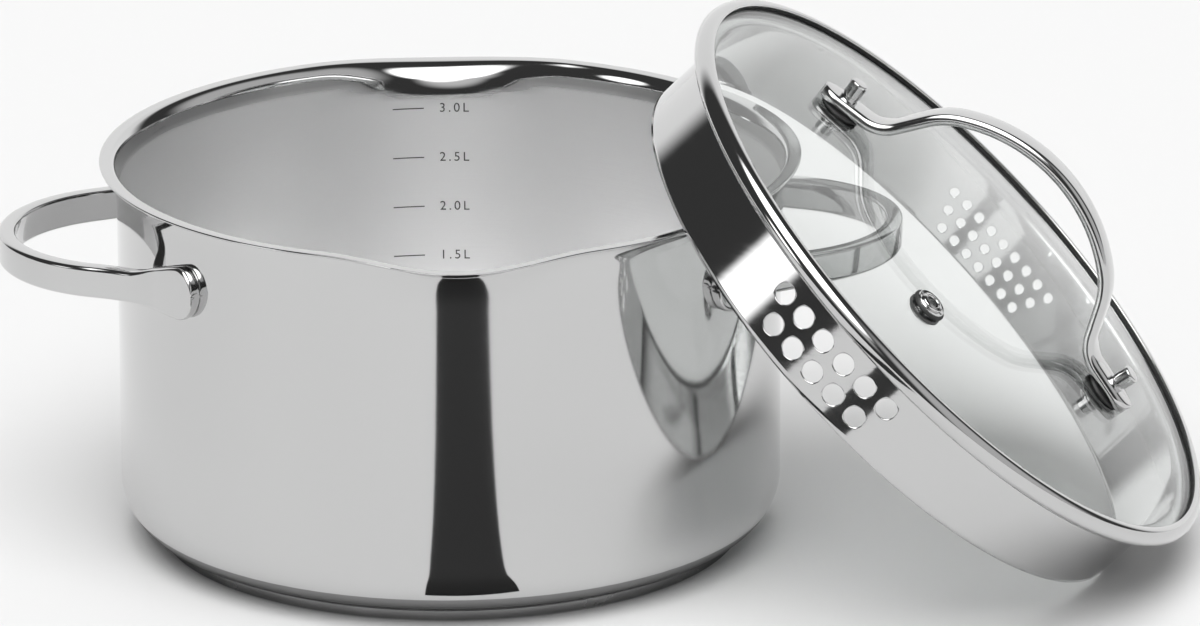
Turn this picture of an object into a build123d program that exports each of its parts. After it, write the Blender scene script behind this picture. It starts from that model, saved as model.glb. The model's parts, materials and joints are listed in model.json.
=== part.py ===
"""Two-handled cooking pot with a glass straining lid, in millimetres.

The pot stands on z = 0 with its axis on Z, its pouring spouts on -Y and +Y and its
handles on -X and +X. The lid leans on the rim at the +X side, with its lower edge on
the surface that the pot stands on. Every lid piece is drawn in the lid's own plane,
LID, whose z axis is the lid's axis and whose x axis runs along the lid handle.
"""

from build123d import *
import math
import os

# ---------------------------------------------------------------- pot, driving sizes
WALL_RADIUS = 100.8  # outside of the wall; 20 cm across inside
SHEET = 0.8
POT_HEIGHT = 118.4
CORNER_RADIUS = 15.0  # outside radius between wall and bottom
LIP_RADIUS = 106.0  # outer edge of the flared rim
LIP_WIDTH = 3.3
FLARE_HEIGHT = 6.0  # the wall starts to flare this far below the rim
SPOUT_HALF_ANGLE = 23.0
SPOUT_PUSH = 5.5  # how far the lip goes outwards at a spout's middle
SPOUT_DROP = 2.5
SPOUT_DEPTH = 15.0  # the spout's flare starts this far below the rim
RIM_STEP = 0.2  # the rim is this much thinner on each side than the wall it stands in

# ------------------------------------------------------------ capsule base
BASE_RADIUS = 89.0
BASE_HEIGHT = 3.3
BASE_SHEET = 0.6

# ------------------------------------------------------------ pot handles
HANDLE_REACH = 137.0  # outer face of the loop from the pot's axis
STRAP_THICKNESS = 5.5
PAD_THICKNESS = 3.7
NOSE_RADIUS, NOSE_ANGLE = 43.0, 70.0
PAD_START, PAD_END = 31.0, 41.0  # degrees from the handle's axis
STRAP_BOTTOM, STRAP_TOP = 87.3, 97.0
PAD_TOP = 104.3
PAD_CORNER = 7.8
PAD_REACH, STRAP_REACH = 80.5, 99.0  # the strap widens into the pad between these, from the pot's axis

# ------------------------------------------------------------ lid
SKIRT_RADIUS = 98.2  # outside; it drops inside the pot
SKIRT_DEPTH = 25.0
LID_SHEET = 0.6
BEAD_RADIUS = 3.25
LID_RADIUS = 106.4
GLASS_THICKNESS = 3.6
GLASS_EDGE_RADIUS = 104.2
GLASS_RISE = 11.5
GLASS_EDGE_HEIGHT = 3.05  # middle of the glass, above the flange's underside
SEAL_INNER_RADIUS = 102.3
HOLE_TURN = -6.0  # the hole groups stand this far round from square to the handle
BIG_HOLE_RADIUS, BIG_STEP, BIG_ROWS = 3.3, 5.3, ((-8.85, 6), (-17.6, 5))
SMALL_HOLE_RADIUS, SMALL_STEP = 1.55, 3.25
SMALL_ROWS = ((-10.3, 9), (-15.7, 8), (-21.1, 7))

# ------------------------------------------------------------ lid handle and its bolts
BOLT_REACH = 58.5  # each bolt from the lid's axis
FOOT_TILT = 10.0
FOOT_HEIGHT = 15.2  # middle of the strap at the bolt, above the flange's underside
LID_STRAP_WIDTH = 11.0
LID_STRAP_THICKNESS = 3.6
LID_GRIP_HEIGHT = 49.3  # middle of the strap at the top of the arch
BOLT_RADIUS = 2.0
CAP_NUT_RADIUS, CAP_NUT_HEIGHT = 2.9, 6.0
SEAT_RADIUS = 6.5
BOLT_FIT = 0.2  # room round a bolt in the strap, the seats and the washers
INNER_GASKET = 1.6
WASHER_THICKNESS = 1.0
SCREW_HEAD_RADIUS, SCREW_HEAD_HEIGHT = 4.0, 2.4
SOCKET_RADIUS, SOCKET_DEPTH = 1.5, 1.4

VENT_REACH = 65.0

# ------------------------------------------------------------ the lid's place at rest
LID_TILT = 44.9
LID_AZIMUTH = -12.1
LID_REACH = 151.3  # the middle of the flange's underside from the pot's axis
HANDLE_SPIN = 4.7  # the lid handle turned from the line of steepest slope

tilt, turn = math.radians(LID_TILT), math.radians(LID_AZIMUTH)
lid_normal = Vector(
    math.sin(tilt) * math.cos(turn), math.sin(tilt) * math.sin(turn), math.cos(tilt)
)
lid_level = Vector(0, 0, 1).cross(lid_normal).normalized()
lid_slope = lid_normal.cross(lid_level)
spin = math.radians(HANDLE_SPIN)
lid_height = SKIRT_DEPTH * math.cos(tilt) + SKIRT_RADIUS * math.sin(tilt)
LID = Plane(
    origin=(LID_REACH * math.cos(turn), LID_REACH * math.sin(turn), lid_height),
    x_dir=lid_slope * math.cos(spin) + lid_level * math.sin(spin),
    z_dir=lid_normal,
)
LID_AXIS = Axis(LID.origin, LID.z_dir)


def lid_radial(angle):
    """The half plane through the lid's axis at an angle from the lid handle's line.

    Its x axis points outwards and its y axis along the lid's axis.
    """
    a = math.radians(angle)
    outward = LID.x_dir * math.cos(a) + LID.y_dir * math.sin(a)
    return Plane(origin=LID.origin, x_dir=outward, z_dir=outward.cross(LID.z_dir))


os.makedirs("parts", exist_ok=True)


def keep(piece, name):
    """Label a finished piece and write its file."""
    piece.part.label = name
    export_step(piece.part, f"parts/{name}.step")


# ================================================================ pot body
def flare(depth):
    """How far the plain wall has moved outwards at a depth below the rim: a quarter ellipse."""
    if depth >= FLARE_HEIGHT:
        return 0.0
    width = LIP_RADIUS - LIP_WIDTH - (WALL_RADIUS - SHEET + RIM_STEP)
    return width * (1 - math.sqrt(1 - (1 - depth / FLARE_HEIGHT) ** 2))


def rim_outline(bell):
    """Draw the wall's upper end in a radial plane; bell is 1 in a spout's middle, 0 outside it."""
    inner, outer = WALL_RADIUS - SHEET + RIM_STEP, WALL_RADIUS - RIM_STEP
    foot = POT_HEIGHT - SPOUT_DEPTH - 4
    inside, outside = [], []
    for step in range(1, 9):
        depth = SPOUT_DEPTH * (1 - step / 8) ** 1.5
        grow = (1 - depth / SPOUT_DEPTH) ** 2 * bell
        move = flare(depth) + SPOUT_PUSH * grow
        z = POT_HEIGHT - depth - SPOUT_DROP * grow
        inside.append((inner + move, z))
        thin = SHEET * (1 - depth / SPOUT_DEPTH) ** 3
        outside.append((outer + move - thin, z - thin))
    lip_z = POT_HEIGHT - SPOUT_DROP * bell
    lip_r = LIP_RADIUS + SPOUT_PUSH * bell
    with BuildLine() as line:
        wall_in = Line((inner, foot), (inner, POT_HEIGHT - SPOUT_DEPTH))
        flare_in = Spline(wall_in @ 1, *inside, tangents=[(0, 1), (1, 0)])
        lip_top = Line(flare_in @ 1, (lip_r - SHEET / 2, lip_z))
        edge = ThreePointArc(lip_top @ 1, (lip_r, lip_z - SHEET / 2), (lip_r - SHEET / 2, lip_z - SHEET))
        lip_under = Line(edge @ 1, outside[-1])
        wall_out = Line((outer, foot), (outer, POT_HEIGHT - SPOUT_DEPTH))
        flare_out = Spline(wall_out @ 1, *outside, tangents=[(0, 1), (1, 0)])
        Line(wall_in @ 0, wall_out @ 0)
    make_face(line.edges())


def radial(angle):
    """The plane through Z at an angle; its x axis points outwards and its y axis up."""
    a = math.radians(angle)
    return Plane(origin=(0, 0, 0), x_dir=(math.cos(a), math.sin(a), 0), z_dir=(math.sin(a), -math.cos(a), 0))


plain_sweep = 180 - 2 * SPOUT_HALF_ANGLE
with BuildPart() as pot_body:
    # the wall and the bottom, up to where the rim starts
    wall_top = POT_HEIGHT - SPOUT_DEPTH
    with BuildSketch(Plane.XZ):
        with BuildLine():
            bottom_out = Line((0, BASE_HEIGHT), (WALL_RADIUS - CORNER_RADIUS, BASE_HEIGHT))
            corner_out = JernArc(bottom_out @ 1, (1, 0), CORNER_RADIUS, 90)
            wall_out = Line(corner_out @ 1, (WALL_RADIUS, wall_top))
            top = Line(wall_out @ 1, (WALL_RADIUS - SHEET, wall_top))
            wall_in = Line(top @ 1, (WALL_RADIUS - SHEET, BASE_HEIGHT + CORNER_RADIUS))
            corner_in = JernArc(wall_in @ 1, (0, -1), CORNER_RADIUS - SHEET, -90)
            bottom_in = Line(corner_in @ 1, (0, BASE_HEIGHT + SHEET))
            Line(bottom_in @ 1, bottom_out @ 0)
        make_face()
    revolve(axis=Axis.Z)
    # the plain rim over each handle
    for start in (-90 + SPOUT_HALF_ANGLE, 90 + SPOUT_HALF_ANGLE):
        with BuildSketch(radial(start)):
            rim_outline(0)
        revolve(axis=Axis.Z, revolution_arc=plain_sweep)
    # the spouts
    for middle in (-90, 90):
        for step in range(-6, 7):
            with BuildSketch(radial(middle + step * SPOUT_HALF_ANGLE / 6)):
                rim_outline(math.cos(math.pi / 2 * step / 6) ** 2)
        loft()
keep(pot_body, "pot_body")

# ================================================================ capsule base
with BuildPart() as base_core:
    with BuildSketch(Plane.XY.offset(BASE_SHEET)):
        Circle(BASE_RADIUS - BASE_SHEET)
    extrude(amount=BASE_HEIGHT - BASE_SHEET)
keep(base_core, "base_core")

with BuildPart() as base_cap:
    with BuildSketch():
        Circle(BASE_RADIUS)
    extrude(amount=BASE_HEIGHT)
    fillet(base_cap.edges().sort_by(Axis.Z)[0], BASE_SHEET * 0.9)
    with BuildSketch(Plane.XY.offset(BASE_SHEET)):
        Circle(BASE_RADIUS - BASE_SHEET)
    extrude(amount=BASE_HEIGHT - BASE_SHEET, mode=Mode.SUBTRACT)
keep(base_cap, "base_cap")


# ================================================================ pot handles
def at(radius, angle):
    """A point in plan at a radius and an angle in degrees from +X."""
    return (radius * math.cos(math.radians(angle)), radius * math.sin(math.radians(angle)))


def around(angle):
    """The direction round the pot at an angle in degrees."""
    return (-math.sin(math.radians(angle)), math.cos(math.radians(angle)))


pad_outer = WALL_RADIUS + PAD_THICKNESS
pad_inner_start = PAD_START - 3

# one strap handle on the +X side: its plan, cut to its side outline
with BuildPart() as right_handle:
    with BuildSketch(Plane.XY.offset(STRAP_BOTTOM)):
        with BuildLine():
            nose = JernArc((HANDLE_REACH, 0), (0, 1), NOSE_RADIUS, NOSE_ANGLE)
            neck = Spline(nose @ 1, at(pad_outer, PAD_START), tangents=[nose % 1, around(PAD_START)])
            middle = (PAD_START + PAD_END) / 2
            pad = ThreePointArc(neck @ 1, at(pad_outer, middle), at(pad_outer, PAD_END))
            end = Line(pad @ 1, at(WALL_RADIUS, PAD_END))
            pad_in = ThreePointArc(end @ 1, at(WALL_RADIUS, PAD_START), at(WALL_RADIUS, pad_inner_start))
            nose_in = JernArc(
                (HANDLE_REACH - STRAP_THICKNESS, 0), (0, 1), NOSE_RADIUS - STRAP_THICKNESS, NOSE_ANGLE
            )
            Spline(nose_in @ 1, pad_in @ 1, tangents=[nose_in % 1, around(pad_inner_start)])
            Line(nose_in @ 0, nose @ 0)
        make_face()
        mirror(about=Plane.XZ)
    extrude(amount=PAD_TOP - STRAP_BOTTOM)
    with BuildSketch(Plane.XZ):
        with BuildLine():
            widening = Spline((PAD_REACH, PAD_TOP), (STRAP_REACH, STRAP_TOP), tangents=[(1, 0), (1, 0)])
            Polyline(
                widening @ 1, (HANDLE_REACH + 1, STRAP_TOP), (HANDLE_REACH + 1, STRAP_BOTTOM),
                (0, STRAP_BOTTOM), (0, PAD_TOP), widening @ 0,
            )
        make_face()
    extrude(amount=HANDLE_REACH, both=True, mode=Mode.INTERSECT)
    pad_end_edges = []
    for edge in right_handle.edges():
        edge_middle = edge.center()
        turned = abs(math.degrees(math.atan2(edge_middle.Y, edge_middle.X)))
        if abs(turned - PAD_END) < 0.05 and edge.length < PAD_THICKNESS + 1:
            pad_end_edges.append(edge)
    fillet(pad_end_edges, PAD_CORNER)
keep(right_handle, "right_handle")

with BuildPart() as left_handle:
    add(right_handle.part)
    mirror(about=Plane.YZ)
    add(right_handle.part, mode=Mode.SUBTRACT)
keep(left_handle, "left_handle")

# ================================================================ lid: steel rim with its skirt
bead_radius_at = LID_RADIUS - BEAD_RADIUS
with BuildPart() as lid_rim:
    with BuildSketch(lid_radial(0)):
        with BuildLine():
            skirt_in = Line(
                (SKIRT_RADIUS - LID_SHEET, -SKIRT_DEPTH), (SKIRT_RADIUS - LID_SHEET, -0.6)
            )
            bend_in = JernArc(skirt_in @ 1, (0, 1), 1.2, -90)
            flange_top = Line(bend_in @ 1, (bead_radius_at, LID_SHEET))
            bead_in = JernArc(flange_top @ 1, (1, 0), BEAD_RADIUS - LID_SHEET, 180)
            lip_end = Line(bead_in @ 1, (bead_radius_at, 2 * BEAD_RADIUS))
            bead_out = JernArc(lip_end @ 1, (1, 0), BEAD_RADIUS, -180)
            bend_out = JernArc((SKIRT_RADIUS, -0.6), (0, 1), 0.6, -90)
            Line(bend_out @ 1, bead_out @ 1)
            skirt_out = Line((SKIRT_RADIUS, -SKIRT_DEPTH), bend_out @ 0)
            Line(skirt_in @ 0, skirt_out @ 0)
        make_face()
    revolve(axis=LID_AXIS)
    for rows, step, radius, side in (
        (BIG_ROWS, BIG_STEP, BIG_HOLE_RADIUS, 90),
        (SMALL_ROWS, SMALL_STEP, SMALL_HOLE_RADIUS, 270),
    ):
        for height, count in rows:
            for i in range(count):
                angle = side + HOLE_TURN + (i - (count - 1) / 2) * step
                a = math.radians(angle)
                outward = LID.x_dir * math.cos(a) + LID.y_dir * math.sin(a)
                start = LID.origin + outward * (SKIRT_RADIUS - 4) + LID.z_dir * height
                with BuildSketch(Plane(origin=start, x_dir=LID.z_dir, z_dir=outward)):
                    Circle(radius)
                extrude(amount=8, mode=Mode.SUBTRACT)
keep(lid_rim, "lid_rim")


# ================================================================ lid: glass, its seal and its holes
def glass_height(radius):
    """Height of the glass's middle surface above the flange: a spherical cap."""
    return GLASS_EDGE_HEIGHT + math.sqrt(sphere**2 - radius**2) - (sphere - GLASS_RISE)


sphere = (bead_radius_at**2 + GLASS_RISE**2) / (2 * GLASS_RISE)
glass_centre = GLASS_EDGE_HEIGHT + GLASS_RISE - sphere
half_glass = GLASS_THICKNESS / 2


def glass_section():
    """Draw half of the glass's section."""
    with BuildLine() as line:
        edge_r = GLASS_EDGE_RADIUS
        outer, inner = sphere + half_glass, sphere - half_glass
        top_edge = (edge_r, glass_centre + math.sqrt(outer**2 - edge_r**2))
        low_edge = (edge_r, glass_centre + math.sqrt(inner**2 - edge_r**2))
        half = edge_r / 2
        top = ThreePointArc(
            (0, glass_centre + outer), (half, glass_centre + math.sqrt(outer**2 - half**2)), top_edge
        )
        low = ThreePointArc(
            (0, glass_centre + inner), (half, glass_centre + math.sqrt(inner**2 - half**2)), low_edge
        )
        Line(top @ 0, low @ 0)
        Line(top_edge, low_edge)
    make_face(line.edges())


def beside_glass(radius, height):
    """Draw the room from a sphere of a radius round the glass's centre to a flat line at a height."""
    reach = BOLT_REACH + 20
    heights = [glass_centre + math.sqrt(radius**2 - r**2) for r in (0, reach / 2, reach)]
    with BuildLine() as line:
        dome = ThreePointArc((0, heights[0]), (reach / 2, heights[1]), (reach, heights[2]))
        Polyline(dome @ 1, (reach, height), (0, height), dome @ 0)
    make_face(line.edges())


def foot_plane(side, up=0.0):
    """The plane of a lid handle's foot at its bolt, raised by up; side is 1 or -1."""
    t = math.radians(FOOT_TILT)
    out = LID.x_dir * side
    normal = LID.z_dir * math.cos(t) + out * math.sin(t)
    bolt = LID.origin + out * BOLT_REACH + LID.z_dir * FOOT_HEIGHT
    return Plane(origin=bolt + normal * up, x_dir=LID.y_dir, z_dir=normal)


def vent_plane(up=0.0):
    """The plane square to the glass at the vent, raised by up from its middle surface."""
    slope = math.asin(VENT_REACH / sphere)
    normal = LID.z_dir * math.cos(slope) + LID.y_dir * math.sin(slope)
    middle = LID.origin + LID.y_dir * VENT_REACH + LID.z_dir * glass_height(VENT_REACH)
    return Plane(origin=middle + normal * up, x_dir=LID.x_dir, z_dir=normal)


BOLT_CLEARANCE = 0.6
VENT_TUBE_RADIUS = 3.4
with BuildPart() as lid_glass:
    with BuildSketch(lid_radial(0)):
        glass_section()
    revolve(axis=LID_AXIS)
    for side in (-1, 1):
        with BuildSketch(foot_plane(side)):
            Circle(BOLT_RADIUS + BOLT_CLEARANCE)
        extrude(amount=15, both=True, mode=Mode.SUBTRACT)
    with BuildSketch(vent_plane()):
        Circle(VENT_TUBE_RADIUS)
    extrude(amount=6, both=True, mode=Mode.SUBTRACT)
keep(lid_glass, "lid_glass")

with BuildPart() as glass_seal:
    with BuildSketch(lid_radial(0)):
        bore = BEAD_RADIUS - LID_SHEET
        with Locations((bead_radius_at, BEAD_RADIUS)):
            Circle(bore)
        with Locations((SEAL_INNER_RADIUS, BEAD_RADIUS)):
            Rectangle(bead_radius_at - SEAL_INNER_RADIUS, 2 * bore, align=(Align.MIN, Align.CENTER))
        with Locations((0, 0)):
            Rectangle(2 * SEAL_INNER_RADIUS, 4 * bore, mode=Mode.SUBTRACT)
    revolve(axis=LID_AXIS)
    with BuildSketch(lid_radial(0)):
        glass_section()
    revolve(axis=LID_AXIS, mode=Mode.SUBTRACT)
keep(glass_seal, "glass_seal")

# ================================================================ lid: steam vent
VENT_HOLE_RADIUS, VENT_FLANGE_RADIUS, VENT_FLANGE = 2.0, 4.9, 0.8
GASKET_THICKNESS = 0.9
flange_at = half_glass + GASKET_THICKNESS
with BuildPart() as vent_eyelet:
    with BuildSketch(vent_plane(-flange_at - VENT_FLANGE)):
        Circle(VENT_TUBE_RADIUS - 0.1)
    extrude(amount=2 * flange_at + 2 * VENT_FLANGE + 0.5)
    for low in (flange_at, -flange_at - VENT_FLANGE):
        with BuildSketch(vent_plane(low)):
            Circle(VENT_FLANGE_RADIUS)
        extrude(amount=VENT_FLANGE)
    with BuildSketch(vent_plane()):
        Circle(VENT_HOLE_RADIUS)
    extrude(amount=8, both=True, mode=Mode.SUBTRACT)
keep(vent_eyelet, "vent_eyelet")

for name, low in (("vent_upper_gasket", half_glass), ("vent_lower_gasket", -flange_at)):
    with BuildPart() as vent_gasket:
        with BuildSketch(vent_plane(low)):
            Circle(VENT_FLANGE_RADIUS + 0.7)
            Circle(VENT_TUBE_RADIUS, mode=Mode.SUBTRACT)
        extrude(amount=GASKET_THICKNESS)
        with BuildSketch(lid_radial(0)):
            glass_section()
        revolve(axis=LID_AXIS, mode=Mode.SUBTRACT)
    keep(vent_gasket, name)

# ================================================================ lid handle
ARCH_RADIUS, ARCH_ANGLE = 53.0, 36.0
HIP_RADIUS, LEG_ANGLE = 24.0, 62.0
KNEE_RADIUS = 12.0
FOOT_OVERHANG = 8.5  # from the bolt to the foot's outer end
strap_face = Plane(origin=LID.origin, x_dir=LID.x_dir, z_dir=LID.x_dir.cross(LID.z_dir))


def leg_length():
    """The straight leg's length that brings the foot to its height at the bolt."""
    arch, leg, foot = (math.radians(a) for a in (ARCH_ANGLE, LEG_ANGLE, FOOT_TILT))
    hip_x = ARCH_RADIUS * math.sin(arch) + HIP_RADIUS * (math.sin(leg) - math.sin(arch))
    hip_y = LID_GRIP_HEIGHT - ARCH_RADIUS * (1 - math.cos(arch))
    hip_y -= HIP_RADIUS * (math.cos(arch) - math.cos(leg))
    knee_x = hip_x + KNEE_RADIUS * (math.sin(leg) - math.sin(foot))
    knee_y = hip_y - KNEE_RADIUS * (math.cos(foot) - math.cos(leg))
    drop = knee_y - FOOT_HEIGHT - (BOLT_REACH - knee_x) * math.tan(foot)
    return drop / (math.sin(leg) - math.cos(leg) * math.tan(foot))


def strap_edge(out):
    """Draw half of the strap's edge, a distance out from its middle, from the top to the foot's end."""
    arch = JernArc((0, LID_GRIP_HEIGHT + out), (1, 0), ARCH_RADIUS + out, -ARCH_ANGLE)
    hip = JernArc(arch @ 1, arch % 1, HIP_RADIUS + out, -(LEG_ANGLE - ARCH_ANGLE))
    leg = Line(hip @ 1, (hip @ 1) + (hip % 1) * leg_length())
    knee = JernArc(leg @ 1, leg % 1, KNEE_RADIUS - out, LEG_ANGLE - FOOT_TILT)
    tilted = math.radians(FOOT_TILT)
    run = (BOLT_REACH + out * math.sin(tilted) - (knee @ 1).X) / math.cos(tilted) + FOOT_OVERHANG
    foot = Line(knee @ 1, (knee @ 1) + (knee % 1) * run)
    return arch @ 0, foot @ 1


with BuildPart() as lid_handle:
    with BuildSketch(strap_face):
        with BuildLine():
            top_start, top_end = strap_edge(LID_STRAP_THICKNESS / 2)
            low_start, low_end = strap_edge(-LID_STRAP_THICKNESS / 2)
            Line(top_start, low_start)
            Line(top_end, low_end)
        make_face()
        mirror(about=Plane.YZ)
    extrude(amount=LID_STRAP_WIDTH / 2, both=True)
    for side in (-1, 1):
        with BuildSketch(foot_plane(side)):
            Circle(BOLT_RADIUS + BOLT_FIT)
        extrude(amount=5, both=True, mode=Mode.SUBTRACT)
keep(lid_handle, "lid_handle")

# ================================================================ lid handle's bolts
for name, side in (("upper", 1), ("lower", -1)):
    strap_top = LID_STRAP_THICKNESS / 2
    drop = FOOT_HEIGHT - glass_height(BOLT_REACH) + 1
    with BuildPart() as cap_nut:
        with BuildSketch(foot_plane(side, strap_top)):
            Circle(CAP_NUT_RADIUS)
        extrude(amount=CAP_NUT_HEIGHT)
        chamfer(cap_nut.faces().sort_by(Axis(LID.origin, foot_plane(side).z_dir))[-1].edges(), 0.5)
        with BuildSketch(foot_plane(side, strap_top)):
            Circle(BOLT_RADIUS)
        extrude(amount=CAP_NUT_HEIGHT - 1.5, mode=Mode.SUBTRACT)
    keep(cap_nut, f"{name}_cap_nut")

    with BuildPart() as outer_seat:
        with BuildSketch(foot_plane(side, -strap_top)):
            Circle(SEAT_RADIUS)
            Circle(BOLT_RADIUS + BOLT_FIT, mode=Mode.SUBTRACT)
        extrude(amount=-drop)
        with BuildSketch(lid_radial(0)):
            beside_glass(sphere + half_glass, -BOLT_REACH)
        revolve(axis=LID_AXIS, mode=Mode.SUBTRACT)
    keep(outer_seat, f"{name}_outer_seat")

    inside = -(FOOT_HEIGHT - glass_height(BOLT_REACH)) - half_glass
    gasket_low = inside - INNER_GASKET
    head_low = gasket_low - WASHER_THICKNESS - SCREW_HEAD_HEIGHT
    with BuildPart() as inner_gasket:
        with BuildSketch(foot_plane(side, gasket_low)):
            Circle(SEAT_RADIUS)
            Circle(BOLT_RADIUS + BOLT_FIT, mode=Mode.SUBTRACT)
        extrude(amount=4)
        with BuildSketch(lid_radial(0)):
            beside_glass(sphere - half_glass, BOLT_REACH)
        revolve(axis=LID_AXIS, mode=Mode.SUBTRACT)
    keep(inner_gasket, f"{name}_inner_gasket")

    with BuildPart() as inner_washer:
        with BuildSketch(foot_plane(side, gasket_low - WASHER_THICKNESS)):
            Circle(SEAT_RADIUS - 0.7)
            Circle(BOLT_RADIUS + BOLT_FIT, mode=Mode.SUBTRACT)
        extrude(amount=WASHER_THICKNESS)
    keep(inner_washer, f"{name}_inner_washer")

    with BuildPart() as screw:
        with BuildSketch(foot_plane(side, head_low)):
            Circle(SCREW_HEAD_RADIUS)
        extrude(amount=SCREW_HEAD_HEIGHT)
        chamfer(screw.faces().sort_by(Axis(LID.origin, foot_plane(side).z_dir))[0].edges(), 0.8)
        with BuildSketch(foot_plane(side, head_low + SCREW_HEAD_HEIGHT)):
            Circle(BOLT_RADIUS - 0.05)
        shank_end = strap_top + CAP_NUT_HEIGHT - 2.0
        extrude(amount=shank_end - head_low - SCREW_HEAD_HEIGHT)
        with BuildSketch(foot_plane(side, head_low)):
            RegularPolygon(SOCKET_RADIUS, 6)
        extrude(amount=SOCKET_DEPTH, mode=Mode.SUBTRACT)
    keep(screw, f"{name}_screw")
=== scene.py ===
# %% [markdown]
# # A steel cooking pot with a glass straining lid
# Polished steel shows every dent in a mesh, because each reflection is bent by the
# surface's slope. So every steel piece here is a smooth surface worked out from a formula
# with numpy: a profile turned round an axis, or a section carried along a path. The packed
# CAD model gives the places and the names, and these surfaces stand for its nodes.

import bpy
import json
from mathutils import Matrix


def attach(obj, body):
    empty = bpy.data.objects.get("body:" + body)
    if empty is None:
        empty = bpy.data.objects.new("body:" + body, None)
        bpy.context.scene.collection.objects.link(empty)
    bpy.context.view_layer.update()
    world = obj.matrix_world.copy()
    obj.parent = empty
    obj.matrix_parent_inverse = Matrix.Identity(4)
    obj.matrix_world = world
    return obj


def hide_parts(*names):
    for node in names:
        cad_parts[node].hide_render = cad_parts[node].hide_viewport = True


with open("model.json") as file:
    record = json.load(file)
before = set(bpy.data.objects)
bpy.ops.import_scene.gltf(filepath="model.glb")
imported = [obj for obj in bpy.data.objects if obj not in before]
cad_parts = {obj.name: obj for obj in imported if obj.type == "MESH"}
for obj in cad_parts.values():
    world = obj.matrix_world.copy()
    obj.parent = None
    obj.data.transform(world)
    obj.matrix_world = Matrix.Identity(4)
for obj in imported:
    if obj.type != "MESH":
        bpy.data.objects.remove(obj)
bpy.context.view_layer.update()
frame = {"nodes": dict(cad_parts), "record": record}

import json
import math

import bmesh
import bpy
import numpy as np
from mathutils import Matrix, Vector

MM = 0.001

# %% [markdown]
# ## Places: two frames of reference
# The pot stands at the origin. The lid leans, so it gets axes of its own: its normal is
# the direction of the joint that lifts it, its level axis lies flat, and its slope axis
# points uphill. The lid's handle is turned a few degrees from the slope.

# %% The pot's axes and the lid's axes
WORLD = np.eye(3)
ORIGIN = np.zeros(3)
lift = next(j for j in frame["record"]["behaviour"]["joints"] if j["name"] == "lid_lift")
lid_normal = np.array(lift["axis"]) / np.linalg.norm(lift["axis"])
lid_level = np.cross((0, 0, 1), lid_normal)
lid_level /= np.linalg.norm(lid_level)
lid_slope = np.cross(lid_normal, lid_level)
HANDLE_SPIN = math.radians(4.7)
handle_line = math.cos(HANDLE_SPIN) * lid_slope + math.sin(HANDLE_SPIN) * lid_level
LID_AXES = np.array([handle_line, np.cross(lid_normal, handle_line), lid_normal])
SKIRT_RADIUS, SKIRT_DEPTH = 98.2, 25.0
LID_REACH, LID_AZIMUTH = 151.3, math.radians(-12.1)
sine, cosine = math.hypot(lid_normal[0], lid_normal[1]), lid_normal[2]
LID_ORIGIN = np.array((
    LID_REACH * math.cos(LID_AZIMUTH),
    LID_REACH * math.sin(LID_AZIMUTH),
    SKIRT_DEPTH * cosine + SKIRT_RADIUS * sine,
))
print("lid origin in mm", LID_ORIGIN.round(1), "tilt", round(math.degrees(math.asin(sine)), 1))

# %% [markdown]
# ## From a grid of points to a mesh
# A surface is a function of two parameters, so its points form a grid of rows and
# columns. Neighbouring points make four-sided faces. A row that has shrunk to one point
# is a pole and gets triangles. The signed volume of a closed mesh tells whether its faces
# point outwards: it is the sum of the small pyramids from the origin to each face.


# %% Faces of a grid, and points in their place
def grid_faces(rows, cols, wrap_rows, wrap_cols):
    """Corner numbers of each face: point (i, j), then (i, j+1), (i+1, j+1) and (i+1, j)."""
    i = np.arange(rows if wrap_rows else rows - 1)[:, None]
    j = np.arange(cols if wrap_cols else cols - 1)[None, :]
    below, beside = (i + 1) % rows, (j + 1) % cols
    quads = np.stack([i * cols + j, i * cols + beside, below * cols + beside, below * cols + j], -1)
    return quads.reshape(-1, 4)


def place(points, axes, origin):
    """Points in millimetres on three axes, moved to an origin, in metres."""
    return (np.asarray(points) @ axes + origin) * MM


print("a 3 by 4 tube has", len(grid_faces(3, 4, False, True)), "faces")


# %% A mesh object from points and faces
SAME_POINT = MM * 1e-4


def mesh_piece(name, points, faces, smooth_angle=35, wide_faces=(), closed=True):
    """A new object of these points and faces, with points that coincide made one.

    A face that has shrunk to fewer than three corners is left out. Where the mesh is closed,
    the signed volume, the sum of a . (b x c) over its triangles, is made positive.
    """
    points = np.asarray(points).reshape(-1, 3)
    keys = np.round(points / SAME_POINT).astype(np.int64)
    _, first, index = np.unique(keys, axis=0, return_index=True, return_inverse=True)
    rings = index.reshape(-1)[np.asarray(faces)]
    kept = rings != np.roll(rings, 1, axis=1)
    kept &= (kept.sum(1) > 2)[:, None]
    sizes = kept.sum(1)
    wide = [index.reshape(-1)[np.asarray(face)] for face in wide_faces]
    corners = np.concatenate([rings[kept], *wide])
    sizes = np.r_[sizes[sizes > 0], [len(face) for face in wide]].astype(np.int32)
    mesh = bpy.data.meshes.new(name)
    mesh.vertices.add(len(first))
    mesh.vertices.foreach_set("co", points[first].ravel())
    mesh.loops.add(len(corners))
    mesh.loops.foreach_set("vertex_index", corners.astype(np.int32))
    mesh.polygons.add(len(sizes))
    mesh.polygons.foreach_set("loop_start", np.r_[0, np.cumsum(sizes)[:-1]].astype(np.int32))
    mesh.update(calc_edges=True)
    mesh.validate()
    mesh.calc_loop_triangles()
    triangles = np.zeros(len(mesh.loop_triangles) * 3, np.int32)
    mesh.loop_triangles.foreach_get("vertices", triangles)
    a, b, c = points[first][triangles.reshape(-1, 3)].transpose(1, 0, 2)
    if closed and (a * np.cross(b, c)).sum() < 0:
        mesh.flip_normals()
    mesh.shade_smooth()
    mesh.set_sharp_from_angle(angle=math.radians(smooth_angle))
    piece = bpy.data.objects.new(name, mesh)
    bpy.context.collection.objects.link(piece)
    return piece


print("points closer than", SAME_POINT, "m become one")


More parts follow.
